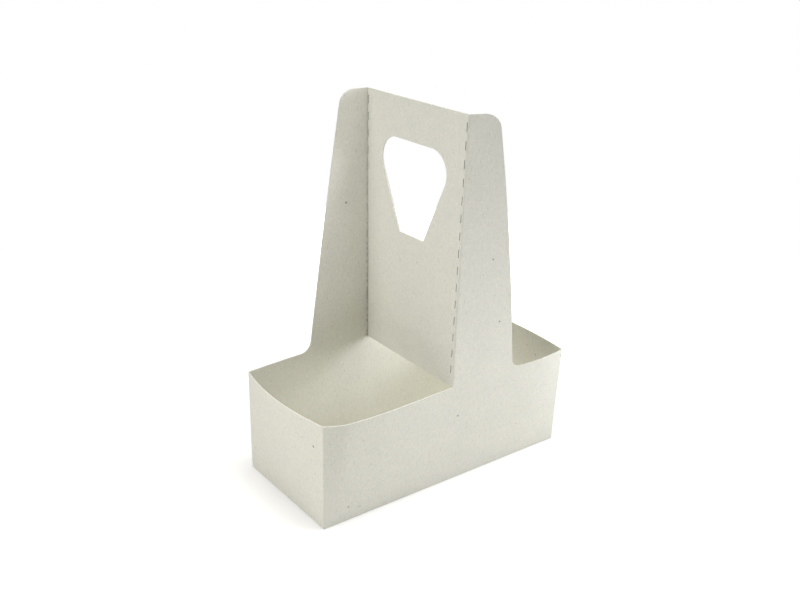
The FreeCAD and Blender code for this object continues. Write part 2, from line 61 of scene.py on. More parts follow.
# How far the end walls bow at the rim, and how far the rim's corners stand out.
LEFT_BOW = 5.2
RIGHT_BOW = 3.4
NEAR_RIGHT_OUT = 3.2
FAR_RIGHT_OUT = 1.0
FAR_LEFT_SPLAY = 0.4
FAR_LEFT_OUT = -0.7

# Where each tab's fold stands along its wall and how far out, at the rim and at SECTION_TOP.
FRONT_FOLD_X = (-2.7, 1.0)
FRONT_FOLD_OUT = (5.0, 5.2)
BACK_FOLD_X = (-0.6, -0.6)
BACK_FOLD_OUT = (3.3, 4.3)

# Knots of each long wall's rim: place along the wall, how far it stands out, slope of the bow.
FRONT_BOW = np.array([
    (-HALF_LENGTH, 0.0, 0.50),
    (-90.5, 4.8, 0.48),
    (-83.5, 6.65, 0.09),
    (-60.75, 7.57, 0.01),
    (-38.0, 6.8, -0.055),
    (FRONT_FOLD_X[0], FRONT_FOLD_OUT[0], -0.02),
    (28.0, 5.35, 0.01),
    (58.5, 5.9, 0.05),
    (79.25, 6.05, -0.06),
    (HALF_LENGTH, NEAR_RIGHT_OUT, -0.20),
])
BACK_BOW = np.array([
    (-HALF_LENGTH, FAR_RIGHT_OUT, 0.09),
    (-50.3, 3.75, 0.02),
    (BACK_FOLD_X[0], BACK_FOLD_OUT[0], -0.005),
    (45.0, 3.1, -0.015),
    (60.0, 2.7, -0.06),
    (HALF_LENGTH + FAR_LEFT_SPLAY, FAR_LEFT_OUT, -0.088),
])

# Rows and columns of points on the walls. The tabs and flaps that hang on a wall share them.
WALL_ROWS = 22
CORNER_STEPS = 6
FRONT_COLUMNS = 50
BACK_COLUMNS = 36
TAB_COLUMNS = 26
FAR_COLUMNS = 16
END_COLUMNS = 28

patches = []


def turned(places):
    """The same places after half a turn round the upright axis."""
    return places * np.array([-1.0, -1.0] + [1.0] * (places.shape[-1] - 2))


def grid_of(*coordinates):
    """A grid of points from coordinates that are each a column, a row or a whole grid."""
    return np.stack(np.broadcast_arrays(*coordinates), -1)


def add_patch(points, sheet_uv, keep=None, painted_shade=0.0, half_turn=False):
    """Keep a grid of points, their places on the flat sheet, the cells that stay and how much
    painted shade each point gets. Half a turn takes a front patch to the back."""
    rows, columns = points.shape[:2]
    places = turned(points) if half_turn else points
    cells = np.ones((rows - 1, columns - 1), bool) if keep is None else keep
    patches.append((places, sheet_uv, cells, np.broadcast_to(painted_shade, (rows, columns))))


def smooth_curve(knots, x):
    """Cubic Hermite curve: between two knots the height blends their values and slopes."""
    before = np.clip(np.searchsorted(knots[:, 0], x, side="right") - 1, 0, len(knots) - 2)
    start_x, start_out, start_slope = np.moveaxis(knots[before], -1, 0)
    end_x, end_out, end_slope = np.moveaxis(knots[before + 1], -1, 0)
    span = end_x - start_x
    share = (x - start_x) / span
    return (
        start_out * (1 + 2 * share) * (1 - share) ** 2
        + span * start_slope * share * (1 - share) ** 2
        + end_out * share * share * (3 - 2 * share)
        + span * end_slope * share * share * (share - 1)
    )


def long_wall(x, bow, out_share):
    """Places along a long wall in its own direction: x, and the half width plus the bow."""
    return np.stack([x, -(HALF_WIDTH + smooth_curve(bow, x) * out_share)], -1)


def end_wall(near, far, bow):
    """Places along an end wall from near corner to far corner, bowed by a parabola."""
    share = np.linspace(0, 1, END_COLUMNS)
    line = near + (far - near) * share[:, None]
    line[:, 0] += bow * 4 * share * (1 - share)
    return line


def corner_fold(before, corner, after):
    """A quadratic curve from one wall's end to the next wall's start, drawn to the corner."""
    share = np.linspace(0, 1, CORNER_STEPS + 1)[1:-1, None]
    return before * (1 - share) ** 2 + corner * 2 * share * (1 - share) + after * share * share


def wall_columns(fold_start, columns_before):
    """Places along a long wall: up to the fold, along the tab's foot, and on to the far corner."""
    end = HALF_LENGTH - FOLD_RADIUS
    return np.concatenate([
        np.linspace(-end, fold_start, columns_before)[:-1],
        np.linspace(fold_start, TAB_FOOT, TAB_COLUMNS)[:-1],
        np.linspace(TAB_FOOT, end, FAR_COLUMNS),
    ])


front_x = wall_columns(FRONT_FOLD_X[0] + FOLD_RADIUS, FRONT_COLUMNS)
back_x = wall_columns(BACK_FOLD_X[0] + FOLD_RADIUS, BACK_COLUMNS)


def wall_ring(out_share):
    """The sleeve's outline at one height, counter-clockwise from the near left corner."""
    front = long_wall(front_x, FRONT_BOW, out_share)
    back = turned(long_wall(back_x, BACK_BOW, out_share))
    near_right = np.array([HALF_LENGTH, -HALF_WIDTH - NEAR_RIGHT_OUT * out_share])
    far_right = np.array([HALF_LENGTH, HALF_WIDTH + FAR_RIGHT_OUT * out_share])
    far_left = np.array([
        -HALF_LENGTH - FAR_LEFT_SPLAY * out_share,
        HALF_WIDTH + FAR_LEFT_OUT * out_share,
    ])
    near_left = np.array([-HALF_LENGTH, -HALF_WIDTH])
    step = np.array([0.0, FOLD_RADIUS])
    right = end_wall(near_right + step, far_right - step, RIGHT_BOW * out_share)
    left = end_wall(far_left - step, near_left + step, -LEFT_BOW * out_share)
    return np.concatenate([
        front,
        corner_fold(front[-1], near_right, right[0]),
        right,
        corner_fold(right[-1], far_right, back[0]),
        back,
        corner_fold(back[-1], far_left, left[0]),
        left,
        corner_fold(left[-1], near_left, front[0]),
        front[:1],
    ])


wall_z = np.linspace(FOOT_RADIUS, RIM, WALL_ROWS)
out_shares = np.clip((wall_z - STRAIGHT_FOOT) / (RIM - STRAIGHT_FOOT), 0, 1)
foot_ring = wall_ring(0.0)
rim_ring = wall_ring(1.0)
wall_points = np.empty((WALL_ROWS, len(rim_ring), 3))
wall_points[..., :2] = foot_ring + (rim_ring - foot_ring) * out_shares[:, None, None]
wall_points[..., 2] = wall_z[:, None]
along = np.concatenate([[0.0], np.cumsum(np.linalg.norm(np.diff(rim_ring, axis=0), axis=1))])
add_patch(wall_points, grid_of(along, wall_z[:, None]))


# Tabs, perforated folds and card
#
# Half of the front wall and half of the back wall run on upwards as tapering tabs. Each tab turns
# at a perforated fold into one ply of the card, and the two plies are glued back to back.
TOP = 252.8
BOARD = 0.6

# How far the tab's straight taper reaches at the rim and at the top, and the round at each end.
EDGE_FOOT = 49.5
EDGE_TOP = 19.6
FOOT_HOLLOW = 9.0
CORNER_ROUND = 10.5

# How far a ply's free edge stays off the other tab's outside, how far the strip with the slits
# reaches into the card, and where the back wall's middle lies along the flat sheet.
SETBACK = 2.1
STRIP_LENGTH = 8.0
BACK_WALL_ALONG = 392.0

# The row of slits, the rows of points where the painted shade at the slits ends, and how much
# painted shade lies along the inner crease.
SLIT_START = 9.75
SLIT_LENGTH = 5.3
SLIT_COUNT = 15
SLIT_PITCH = 11.36
SLIT_HALF_WIDTH = 0.225
SLIT_SHADE_MARGIN = 0.3
# Painted shade along the inner crease, darker at the foot than at the top.
CREASE_SHADE_FOOT = 0.33
CREASE_SHADE_TOP = 0.16

# The hand hole's ends, half its foot, and the round shoulders. Its rays start at HOLE_MIDDLE.
HOLE_LOW = 163.4
HOLE_HIGH = 226.0
HOLE_FOOT_HALF = 13.0
HOLE_SPREAD_HALF = 18.5
HOLE_ROUND = 15.0
HOLE_MIDDLE = 198.0

# The tab is ruled between two sections, one at the rim and one at this height, of this reach.
SECTION_TOP = 256.8
SECTION_REACH = 58.5

# A quadratic bend through a right angle is 1.62 radii long. The slits start on the flat card
# beyond the bend and run up into it.
BEND_LENGTH = 1.62 * FOLD_RADIUS
SLIT_OFF_FOOT = BEND_LENGTH + 2.0
SLIT_OFF_TOP = 0.837 * BEND_LENGTH

# Rows and columns of points, and how fast the columns widen beyond the slits.
ROUND_ROWS = 9
BRIDGE_ROWS = np.array([[0.35], [0.65]])
ROW_TOLERANCE = 0.01
SHOULDER_POINTS = 60
STRAIGHT_POINTS = 80
NEAR_COLUMNS = 11
BEYOND_COLUMNS = 8
COLUMN_GROWTH = 1.6
CREASE_GAP_COLUMNS = 3
CARD_EDGE_POINTS = 40
RING_ROWS = 9

edge_lean = math.atan((EDGE_FOOT - EDGE_TOP) / (TOP - RIM))
tangent_share = math.tan((math.pi / 2 - edge_lean) / 2)
slit_low = RIM + SLIT_START + SLIT_PITCH * np.arange(SLIT_COUNT)
slit_high = slit_low + SLIT_LENGTH
between_slits = slit_high[:-1] + (slit_low[1:] - slit_high[:-1]) * BRIDGE_ROWS
card_z = np.unique(np.round(np.concatenate([
    RIM + FOOT_HOLLOW * (1 - np.cos(np.linspace(0, math.pi / 2 - edge_lean, ROUND_ROWS))),
    TOP - CORNER_ROUND * (1 - np.sin(np.linspace(edge_lean, math.pi / 2, ROUND_ROWS))),
    slit_low - SLIT_SHADE_MARGIN,
    slit_low,
    slit_low + SLIT_LENGTH / 3,
    slit_high - SLIT_LENGTH / 3,
    slit_high,
    slit_high + SLIT_SHADE_MARGIN,
    between_slits.ravel(),
]), 4))


def tab_edge(z):
    """Where the tab's free edge lies at each height: hollow foot, straight taper, round corner."""
    straight = EDGE_FOOT + (EDGE_TOP - EDGE_FOOT) * (z - RIM) / (TOP - RIM)
    rise = np.clip(RIM + FOOT_HOLLOW - z, 0, FOOT_HOLLOW)
    hollow = EDGE_FOOT + FOOT_HOLLOW * tangent_share - np.sqrt(FOOT_HOLLOW**2 - rise**2)
    drop = np.clip(z - (TOP - CORNER_ROUND), 0, CORNER_ROUND)
    rounded = EDGE_TOP - CORNER_ROUND * tangent_share + np.sqrt(CORNER_ROUND**2 - drop**2)
    low = z < RIM + FOOT_HOLLOW * (1 - math.sin(edge_lean))
    high = z > TOP - CORNER_ROUND * (1 - math.sin(edge_lean))
    return np.where(low, hollow, np.where(high, rounded, straight))


def hole_edge(angle):
    """The hand hole's edge at each angle round its middle, in the card's plane. The outline is a
    flat foot, slanting sides that touch two round shoulders, and a flat top."""
    round_z = HOLE_HIGH - HOLE_ROUND
    lean_in = HOLE_SPREAD_HALF - HOLE_FOOT_HALF
    reach = math.hypot(lean_in, round_z - HOLE_LOW)
    side_angle = math.atan2(HOLE_LOW - round_z, -lean_in) + math.acos(HOLE_ROUND / reach)
    shoulder = np.linspace(side_angle, math.pi / 2, SHOULDER_POINTS)
    right = np.stack([
        HOLE_SPREAD_HALF + HOLE_ROUND * np.cos(shoulder),
        round_z + HOLE_ROUND * np.sin(shoulder),
    ], -1)
    share = np.linspace(0, 1, STRAIGHT_POINTS)[:, None]
    corner = np.array([HOLE_FOOT_HALF, HOLE_LOW])
    side = corner + (right[0] - corner) * share
    foot = np.array([0.0, HOLE_LOW]) + (corner - [0.0, HOLE_LOW]) * share
    top = right[-1] + (np.array([0.0, HOLE_HIGH]) - right[-1]) * share
    half = np.concatenate([foot, side, right, top]) - [0.0, HOLE_MIDDLE]
    outline = np.concatenate([half, half[::-1] * [-1, 1]])
    turn = np.arctan2(outline[:, 1], outline[:, 0])
    order = np.argsort(turn)
    distance = np.interp(
        angle, turn[order], np.hypot(*outline[order].T), period=2 * math.pi
    )
    return np.stack([distance * np.cos(angle), HOLE_MIDDLE + distance * np.sin(angle)], -1)


def raise_half(bow, fold_x, fold_out, spring, other_out, card_far_x, hole_shift, half_turn):
    """One tab, its fold and its ply of the card, drawn as the front ones and turned if asked.
    A pair of values is one at the rim and one at SECTION_TOP, and changes evenly between them."""

    def at(pair, way_up):
        return pair[0] + (pair[1] - pair[0]) * way_up

    def height_share(z):
        return (z - RIM) / (SECTION_TOP - RIM)

    z = card_z
    rise = height_share(z)
    tip_spring = spring * (SECTION_REACH - fold_x[1]) / (EDGE_TOP - fold_x[1])
    start_x = at(fold_x, rise) + FOLD_RADIUS
    share = np.linspace(0, 1, TAB_COLUMNS)
    tab_x = start_x[:, None] + share * (tab_edge(z) - start_x)[:, None]

    # The tab at each height lies between the rim's bow and a straight line that springs outwards.
    way = (tab_x - start_x[:, None]) / (SECTION_REACH - start_x)[:, None]
    foot_x = fold_x[0] + FOLD_RADIUS + way * (SECTION_REACH - fold_x[0] - FOLD_RADIUS)
    top_reach = SECTION_REACH - fold_x[1]
    spring_share = (FOLD_RADIUS + way * (top_reach - FOLD_RADIUS)) / top_reach
    out = at((smooth_curve(bow, foot_x), fold_out[1] + tip_spring * spring_share), rise[:, None])
    tab = grid_of(tab_x, -(HALF_WIDTH + out), z[:, None])
    sheet_start = BACK_WALL_ALONG if half_turn else HALF_LENGTH
    tab_uv = grid_of(tab_x + sheet_start, z[:, None])

    # The strip beside the fold is a quadratic bend, then flat card with the row of slits.
    ridge = np.stack([at(fold_x, rise), -(HALF_WIDTH + at(fold_out, rise)), z], -1)
    bend_end = ridge + [0.0, FOLD_RADIUS, 0.0]
    card_end = np.stack([at(card_far_x, rise), HALF_WIDTH + at(other_out, rise) - SETBACK, z], -1)
    card_way = card_end - bend_end
    card_way /= np.linalg.norm(card_way, axis=1, keepdims=True)
    slit_at = at((SLIT_OFF_FOOT, SLIT_OFF_TOP), rise)
    near = np.linspace(0, 1, NEAR_COLUMNS)
    beyond = np.linspace(0, 1, BEYOND_COLUMNS) ** COLUMN_GROWTH
    across = np.concatenate([
        near * (slit_at - SLIT_HALF_WIDTH)[:, None],
        (slit_at + SLIT_HALF_WIDTH)[:, None]
        + beyond * (STRIP_LENGTH - slit_at - SLIT_HALF_WIDTH)[:, None],
    ], axis=1)
    bent = np.clip(across / BEND_LENGTH, 0, 1)[..., None]
    bend = (
        tab[:, :1] * (1 - bent) ** 2
        + ridge[:, None] * 2 * bent * (1 - bent)
        + bend_end[:, None] * bent * bent
    )
    strip = bend + card_way[:, None] * np.clip(across - BEND_LENGTH, 0, None)[..., None]
    strip_uv = grid_of(tab_uv[:, :1, 0] - across, z[:, None])
    middles = (z[:-1] + z[1:]) / 2
    keep = np.ones((len(z) - 1, across.shape[1] - 1), bool)
    cut_cells = ((middles[:, None] > slit_low) & (middles[:, None] < slit_high)).any(axis=1)
    keep[cut_cells, NEAR_COLUMNS - 1] = False
    from_slit = np.abs(z[:, None] - (slit_low + slit_high) / 2)
    cut_rows = (from_slit < SLIT_LENGTH / 2 + ROW_TOLERANCE).any(axis=1)
    painted_shade = np.zeros(across.shape)
    if half_turn:
        # Painted shade along the inner crease of the back half, standing in for the shadow in the gap
        # there.
        painted_shade[:, : NEAR_COLUMNS - CREASE_GAP_COLUMNS] = at((CREASE_SHADE_FOOT, CREASE_SHADE_TOP), rise)[:, None]
    # Painted shade on both sides of each slit, standing in for the shadow inside it.
    painted_shade[cut_rows, NEAR_COLUMNS - 1 : NEAR_COLUMNS + 1] = 1.0

    # The rest of the ply is a ring of rays from the hand hole's edge to the ply's own edges.
    front_side = strip[:, -1]
    step = np.linspace(0, 1, CARD_EDGE_POINTS)[1:-1, None]
    outer = np.concatenate([
        front_side,
        front_side[-1] + (card_end[-1] - front_side[-1]) * step,
        card_end[::-1],
        card_end[0] + (front_side[0] - card_end[0]) * step,
        front_side[:1],
    ])
    angle = np.arctan2(outer[:, 2] - HOLE_MIDDLE, outer[:, 1] - hole_shift)
    hole = hole_edge(angle) + [hole_shift, 0.0]
    hole_rise = height_share(hole[:, 1])
    fold_y = -(HALF_WIDTH + at(fold_out, hole_rise)) + FOLD_RADIUS
    far_y = HALF_WIDTH + at(other_out, hole_rise) - SETBACK
    depth = (hole[:, 0] - fold_y) / (far_y - fold_y)
    hole_x = at((at(fold_x, hole_rise), at(card_far_x, hole_rise)), depth)
    inner = np.column_stack([hole_x, hole])
    ring = inner + (outer - inner) * np.linspace(0, 1, RING_ROWS)[:, None, None]
    ring_uv = np.stack([sheet_start - HALF_LENGTH - ring[..., 1], ring[..., 2]], -1)
    add_patch(tab, tab_uv, half_turn=half_turn)
    add_patch(strip, strip_uv, keep, painted_shade, half_turn)
    add_patch(ring, ring_uv, half_turn=half_turn)


raise_half(
    bow=FRONT_BOW,
    fold_x=FRONT_FOLD_X,
    fold_out=FRONT_FOLD_OUT,
    spring=7.0,
    other_out=BACK_FOLD_OUT,
    card_far_x=(-0.6, -0.6),
    hole_shift=-0.5,
    half_turn=False,
)
raise_half(
    bow=BACK_BOW,
    fold_x=BACK_FOLD_X,
    fold_out=BACK_FOLD_OUT,
    spring=2.8,
    other_out=FRONT_FOLD_OUT,
    card_far_x=(1.5, -2.2),
    hole_shift=0.5,
    half_turn=True,
)


# Folded bottom
#
# The long flaps lap along the middle and lock on a slant, each climbing on to the other in one
# half of the tray. The end flaps are folded in on top of them and glued down.
FLAP_START = HALF_WIDTH - FOOT_RADIUS

# A long flap laps by LAP over the middle, climbs from RAMP before it and locks on a slant of
# LOCK. Its ends are cut back near the fold.
LAP = 10.0
RAMP = 15.0
LOCK = 9.0
FLAP_CUT = 3.5
FLAP_CUT_DEPTH = 3.4
PLY_GAP = 0.02

# An end flap climbs on to the long flaps, tapers to its end, and slopes over the lap.
FLAP_END = 70.0
FLAP_END_HALF = 14.7
CLIMB_START = 98.9
CLIMB_END = 96.9
CLIMB_END_WIDTH = 0.985
LAP_SLOPE_END = RAMP + 1.0

# Rows of points round the folds, across the flaps, over the lap and up the climb.
FOLD_ROWS = 5
FLAP_ROWS = 9
LAP_ROWS = 9
CLIMB_ROWS = 4
END_FLAP_ROWS = 12

fold_angle = np.linspace(0, math.pi / 2, FOLD_ROWS)[1:]
fold_in = FOOT_RADIUS * (1 - np.cos(fold_angle))
fold_down = FOOT_RADIUS * (1 - np.sin(fold_angle))
long_flap_y = np.concatenate([
    [-HALF_WIDTH],
    -HALF_WIDTH + fold_in,
    np.linspace(-FLAP_START, -RAMP, FLAP_ROWS)[1:],
    [-(RAMP + LAP) / 2],
    np.linspace(-LAP, LAP, LAP_ROWS),
])
end_flap_x = -np.concatenate([
    [HALF_LENGTH],
    HALF_LENGTH - fold_in,
    np.linspace(CLIMB_START, CLIMB_END, CLIMB_ROWS),
    np.linspace(CLIMB_END, FLAP_END, END_FLAP_ROWS)[1:],
])


def fold_heights(count):
    """Heights along a flap: round the fold at the foot of the wall, then flat on the floor."""
    return np.concatenate([[FOOT_RADIUS], fold_down, np.zeros(count - 1 - len(fold_down))])


def long_flap(columns_x, half_turn):
    """One long flap from its fold, in two parts that part at the slanting lock."""
    y = long_flap_y
    middle = int(np.argmin(np.abs(columns_x)))
    lock_x = np.interp(
        y, [-HALF_WIDTH, -RAMP, -LAP, LAP], [columns_x[middle], -LOCK, -LOCK, LOCK]
    )
    drawn_in = np.interp(y, [-FLAP_START, -FLAP_START + FLAP_CUT_DEPTH], [0.0, FLAP_CUT])
    for part, climbs in ((columns_x[: middle + 1], True), (columns_x[middle:], False)):
        share = (part - part[0]) / (part[-1] - part[0])
        low = part[0] + drawn_in if climbs else lock_x
        high = lock_x if climbs else part[-1] - drawn_in
        x = low[:, None] + (high - low)[:, None] * share
        z = fold_heights(len(y))
        if climbs:
            z = z + np.interp(y, [-RAMP, -LAP], [0.0, BOARD + PLY_GAP])
        points = grid_of(x, y[:, None], z[:, None])
        uv = grid_of(x + HALF_LENGTH, -HALF_WIDTH - y[:, None])
        add_patch(points, uv, half_turn=half_turn)


def end_flap(half_turn):
    """One end flap from its fold, climbing on to the long flaps and over their lap."""
    x = end_flap_x
    climb = BOARD + 2 * PLY_GAP
    rise = np.interp(x, [-CLIMB_START, -CLIMB_END], [0.0, climb])
    width = np.interp(
        x,
        [-CLIMB_START, -CLIMB_END, -FLAP_END],
        [1.0, CLIMB_END_WIDTH, FLAP_END_HALF / FLAP_START],
    )
    y = np.linspace(FLAP_START, -FLAP_START, END_COLUMNS) * width[:, None]
    over_lap = np.interp(np.abs(y), [LAP, LAP_SLOPE_END], [climb, 0.0])
    base = fold_heights(len(x))[:, None]
    z = base + rise[:, None] + over_lap * (rise > BOARD)[:, None]
    points = grid_of(x[:, None], y, z)
    uv = grid_of(y - HALF_LENGTH, -HALF_LENGTH - x[:, None])
    add_patch(points, uv, half_turn=half_turn)


long_flap(front_x, False)
long_flap(back_x, True)
end_flap(False)
end_flap(True)


# One sheet of board
#
# Grey board of recycled paper, matt, with a mottled tone, short pale and dark fibres and dark
# specks. The inside is a little paler than the outside, and the cut edges are a little darker.
# The whole carrier is this one sheet, 0.6 mm thick.
WELD_DISTANCE = 0.00002
SHARP_ANGLE = math.radians(40)
OUTSIDE_TONE = (0.72, 0.71, 0.63)
INSIDE_TONE = (0.795, 0.785, 0.70)
EDGE_TONE = (0.63, 0.615, 0.55)
ROUGHNESS = 0.85
SPECULAR = 0.2
FACE_BUMP = 0.5
EDGE_BUMP = 0.9
BUMP_DEPTH = 0.0001

# Each noise is its scale on a metre of board, its detail and the values between which it comes up.
# Each shade is a factor on the tone, and a second one for warmth.
BROAD_NOISE = (70.0, 3.0, 0.35, 0.65)
BROAD_DARK = (0.975, 0.997)
BROAD_PALE = (1.02, 1.003)
BLOTCH_NOISE = (420.0, 2.0, 0.38, 0.62)
BLOTCH_SHARE = 0.6
BLOTCH_SHADE = (0.925, 1.012)
GRAIN_NOISE = (1500.0, 2.0, 0.3, 0.7)
GRAIN_SHARE = 0.75
GRAIN_SHADE = (0.86, 1.0)

# Each kind of fibre is a stretch of the noise, its turn, the value where it comes up and its shade.
FIBRES = (
    ((260.0, 1500.0, 1.0), 0.4, 0.65, 1.09),
    ((1400.0, 240.0, 1.0), 0.3, 0.63, 0.78),
    ((1500.0, 260.0, 1.0), -0.3, 0.65, 1.07),
)
FIBRE_EDGE = 0.07
FIBRE_SHARE = 0.8

# Each kind of speck is cells in a metre, the share of cells with one, radius, share and shade.
SPECKS = (
    (300.0, 0.2, 0.2, 0.6, 0.66),
    (105.0, 0.32, 0.11, 1.0, 0.42),
)
SPECK_EDGE = 0.3

# Painted shade: the outside and the cut edges are darkened only at the slits, and the inside
# along the crease too.
SLIT_SHADE_FROM = 0.4
CREASE_SHADE_FROM = 0.0
PAINTED_SHADE_SPAN = 0.55
PAINTED_SHADE_FACTOR = 0.4


def sheet_mesh(name):
    """All patches welded into one surface, with each corner's place on the flat sheet as UV."""
    points, faces, uvs, painted_shade, start = [], [], [], [], 0
    for grid, uv, cells, dark in patches:
        rows, columns = grid.shape[:2]
        index = start + np.arange(rows * columns).reshape(rows, columns)
        quads = np.stack([index[:-1, :-1], index[:-1, 1:], index[1:, 1:], index[1:, :-1]], -1)
        points.append(grid.reshape(-1, 3))
        faces.append(quads[cells])
        uvs.append(uv.reshape(-1, 2))
        painted_shade.append(dark.ravel())
        start += rows * columns
    mesh = bpy.data.meshes.new(name)
    mesh.from_pydata((np.concatenate(points) * MM).tolist(), [], np.concatenate(faces).tolist())
    layer = mesh.uv_layers.new(name="sheet")
    corners = np.empty(len(mesh.loops), np.int32)
    mesh.loops.foreach_get("vertex_index", corners)
    sheet_places = np.concatenate(uvs)[corners] * MM
    layer.data.foreach_set("uv", sheet_places.astype(np.float32).ravel())
    # The painted shade of each point, at the slits and along the inner crease.
    mark = mesh.attributes.new("painted_shade", "FLOAT", "POINT")
    mark.data.foreach_set("value", np.concatenate(painted_shade).astype(np.float32))
    work = bmesh.new()
    work.from_mesh(mesh)
    bmesh.ops.remove_doubles(work, verts=work.verts, dist=WELD_DISTANCE)
    bmesh.ops.recalc_face_normals(work, faces=work.faces)
    work.to_mesh(mesh)
    work.free()
    return mesh


sheet = bpy.data.objects.new("board_sheet", sheet_mesh("board_sheet"))
bpy.context.scene.collection.objects.link(sheet)


def board_material(name, tone, bump, painted_shade_from):
    """Grey board as nodes on the sheet's own UV, which is in metres on the flat blank. Where a
    point's painted shade passes the given start, the tone is darkened."""
    material = bpy.data.materials.new(name)
    material.use_nodes = True
    nodes, links = material.node_tree.nodes, material.node_tree.links
    shader = nodes["Principled BSDF"]
    shader.inputs["Roughness"].default_value = ROUGHNESS
    shader.inputs["Specular IOR Level"].default_value = SPECULAR
    place = nodes.new("ShaderNodeUVMap")
    place.uv_map = "sheet"

    def noise(scale, detail, stretch=(1.0, 1.0, 1.0), turn=0.0):
        mapping = nodes.new("ShaderNodeMapping")
        mapping.inputs["Scale"].default_value = stretch
        mapping.inputs["Rotation"].default_value = (0, 0, turn)
        texture = nodes.new("ShaderNodeTexNoise")
        texture.inputs["Scale"].default_value = scale
        texture.inputs["Detail"].default_value = detail
        links.new(place.outputs["UV"], mapping.inputs["Vector"])
        links.new(mapping.outputs["Vector"], texture.inputs["Vector"])
        return texture.outputs["Fac"]

    def ramp(value, low, high, low_out=0.0, high_out=1.0):
        node = nodes.new("ShaderNodeMapRange")
        node.inputs["From Min"].default_value = low
        node.inputs["From Max"].default_value = high
        node.inputs["To Min"].default_value = low_out
        node.inputs["To Max"].default_value = high_out
        links.new(value, node.inputs["Value"])
        return node.outputs["Result"]

    def mix(share, first, second):
        node = nodes.new("ShaderNodeMix")
        node.data_type = "RGBA"
        links.new(share, node.inputs["Factor"])
        for value, socket in ((first, node.inputs["A"]), (second, node.inputs["B"])):
            if isinstance(value, tuple):
                socket.default_value = value
            else:
                links.new(value, socket)
        return node.outputs["Result"]

    def shade(amount, warmth=1.0):
        red, green, blue = tone
        return (red * amount * warmth, green * amount, blue * amount / warmth, 1.0)

    def specks(scale, share_with, radius, share):
        cells = nodes.new("ShaderNodeTexVoronoi")
        cells.inputs["Scale"].default_value = scale
        links.new(place.outputs["UV"], cells.inputs["Vector"])
        channels = nodes.new("ShaderNodeSeparateColor")
        links.new(cells.outputs["Color"], channels.inputs["Color"])
        size = ramp(channels.outputs["Red"], 1.0 - share_with, 1.0, 0.0, radius)
        depth = nodes.new("ShaderNodeMath")
        depth.operation = "SUBTRACT"
        links.new(size, depth.inputs[0])
        links.new(cells.outputs["Distance"], depth.inputs[1])
        return ramp(depth.outputs["Value"], 0.0, SPECK_EDGE * radius, 0.0, share)

    def mottle(scale, detail, low, high, share=1.0):
        return ramp(noise(scale, detail), low, high, 0.0, share)

    colour = mix(mottle(*BROAD_NOISE), shade(*BROAD_DARK), shade(*BROAD_PALE))
    colour = mix(mottle(*BLOTCH_NOISE, BLOTCH_SHARE), colour, shade(*BLOTCH_SHADE))
    grain = mottle(*GRAIN_NOISE)
    colour = mix(ramp(grain, 0.0, 1.0, 0.0, GRAIN_SHARE), colour, shade(*GRAIN_SHADE))
    for stretch, turn, low, amount in FIBRES:
        fibre = ramp(noise(1.0, 1.0, stretch, turn), low, low + FIBRE_EDGE, 0.0, FIBRE_SHARE)
        colour = mix(fibre, colour, shade(amount))
    for scale, share_with, radius, share, amount in SPECKS:
        colour = mix(specks(scale, share_with, radius, share), colour, shade(amount))
    # Painted shade at the slits and along the inner crease darkens the tone.
    painted_shade = nodes.new("ShaderNodeAttribute")
    painted_shade.attribute_name = "painted_shade"
    dark = ramp(painted_shade.outputs["Fac"], painted_shade_from, painted_shade_from + PAINTED_SHADE_SPAN)
    colour = mix(dark, colour, shade(PAINTED_SHADE_FACTOR))
    links.new(colour, shader.inputs["Base Color"])
    height = nodes.new("ShaderNodeBump")
    height.inputs["Strength"].default_value = bump
    height.inputs["Distance"].default_value = BUMP_DEPTH
    links.new(grain, height.inputs["Height"])
    links.new(height.outputs["Normal"], shader.inputs["Normal"])
    return material


for material in (
    board_material("grey_board_outside", OUTSIDE_TONE, FACE_BUMP, SLIT_SHADE_FROM),
    board_material("grey_board_inside", INSIDE_TONE, FACE_BUMP, CREASE_SHADE_FROM),
    board_material("board_cut_edge", EDGE_TONE, EDGE_BUMP, SLIT_SHADE_FROM),
):
    sheet.data.materials.append(material)
sheet.data.polygons.foreach_set("use_smooth", [True] * len(sheet.data.polygons))

thickness = sheet.modifiers.new("board_thickness", "SOLIDIFY")
thickness.thickness = BOARD * MM
thickness.offset = -1.0
thickness.use_even_offset = True
thickness.use_quality_normals = True
thickness.material_offset = 1
thickness.material_offset_rim = 2
bpy.context.view_layer.update()
evaluated = sheet.evaluated_get(bpy.context.evaluated_depsgraph_get())
thick_mesh = bpy.data.meshes.new_from_object(evaluated)
sheet.modifiers.clear()
sheet.data = thick_mesh
sheet.data.set_sharp_from_angle(angle=SHARP_ANGLE)

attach(sheet, "root")
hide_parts("folded_carrier")


# Studio
#
# A round pale floor that glows to white away from the carrier, and more to the camera than on to
# the board, a white world behind it that only the camera sees, and soft lights above, in front on
# the right and on the left.
FLOOR_RADIUS = 0.6
FLOOR_SIDES = 96
FLOOR_Z = -0.0003
FLOOR_TONE = (0.58, 0.575, 0.55, 1)
FLOOR_GLOW_NEAR = 0.24
FLOOR_GLOW_FAR = 1.0
FLOOR_GLOW_SEEN = 0.16
GLOW_START = 0.16
GLOW_END = 0.45
WHITE = (1, 1, 1, 1)
LIGHT_TARGET = Vector((0, 0, 0.1))
PLAIN = (1.0, 1.0, 1.0)
COOL = (0.975, 0.985, 1.045)

# Each lamp is its distance from the carrier and its width.
FAR_LAMP = (1.2, 0.5)
NEAR_LAMP = (0.5, 0.2)

